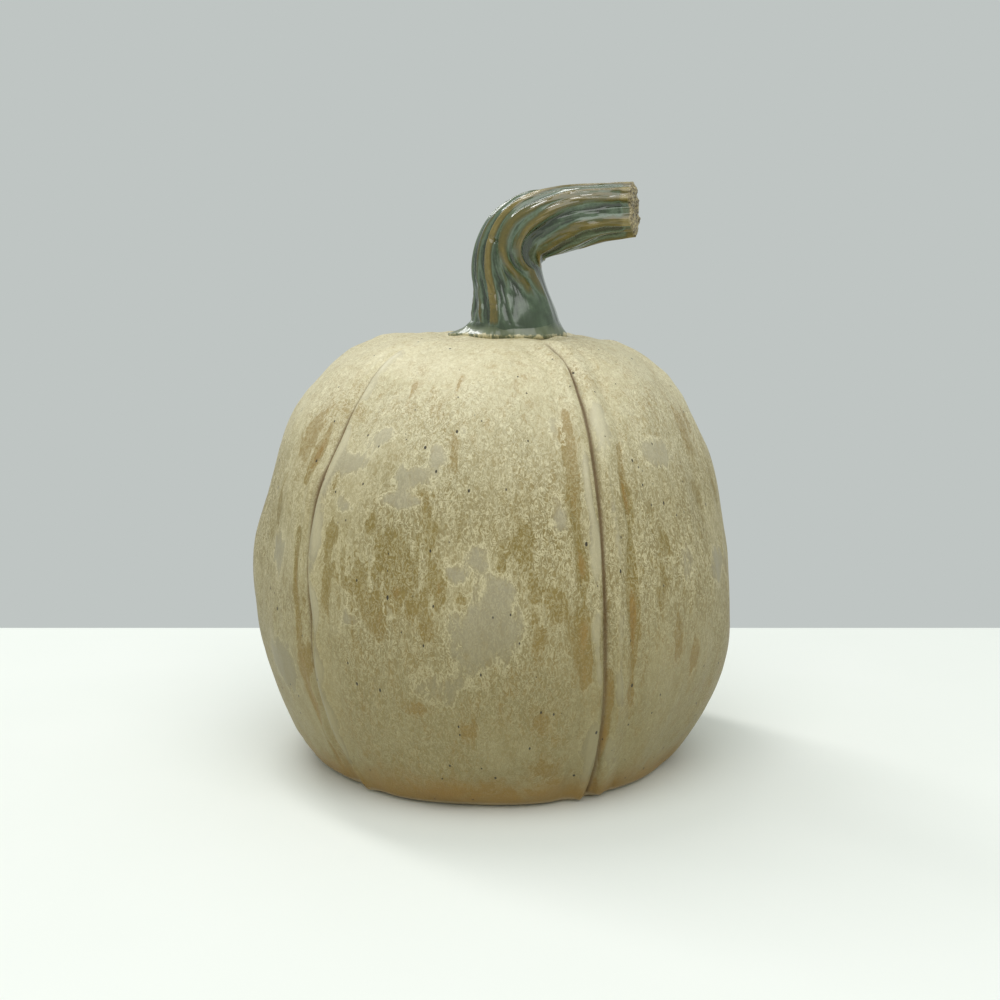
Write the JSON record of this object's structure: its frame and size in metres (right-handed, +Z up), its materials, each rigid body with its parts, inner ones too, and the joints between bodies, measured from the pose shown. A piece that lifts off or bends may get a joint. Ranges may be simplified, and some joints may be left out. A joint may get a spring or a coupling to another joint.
{
  "type": "ceramic pumpkin figure",
  "caption": "Hollow ceramic pumpkin with softly grooved lobes, a closed floor and a bent, ribbed stem on the crown; stands on a table or shelf as a seasonal decoration.",
  "frame": {"origin": "centre of the foot, on the table", "axes": "+Z up through the crown, +X the way the stem bends, -Y the front"},
  "size_m": [0.1499, 0.1499, 0.1802],
  "materials": {
    "body_glaze": "matte mottled cream glaze breaking to amber",
    "bare_clay": "unglazed fired clay",
    "stem_glaze": "glossy green glaze breaking to tan on the ribs",
    "collar_glaze": "glossy green glaze running to cream at its foot"
  },
  "bodies": {
    "root": {"body_shell": "body_glaze", "floor_slab": "bare_clay", "stem": "stem_glaze", "stem_collar": "collar_glaze"}
  },
  "joints": []
}
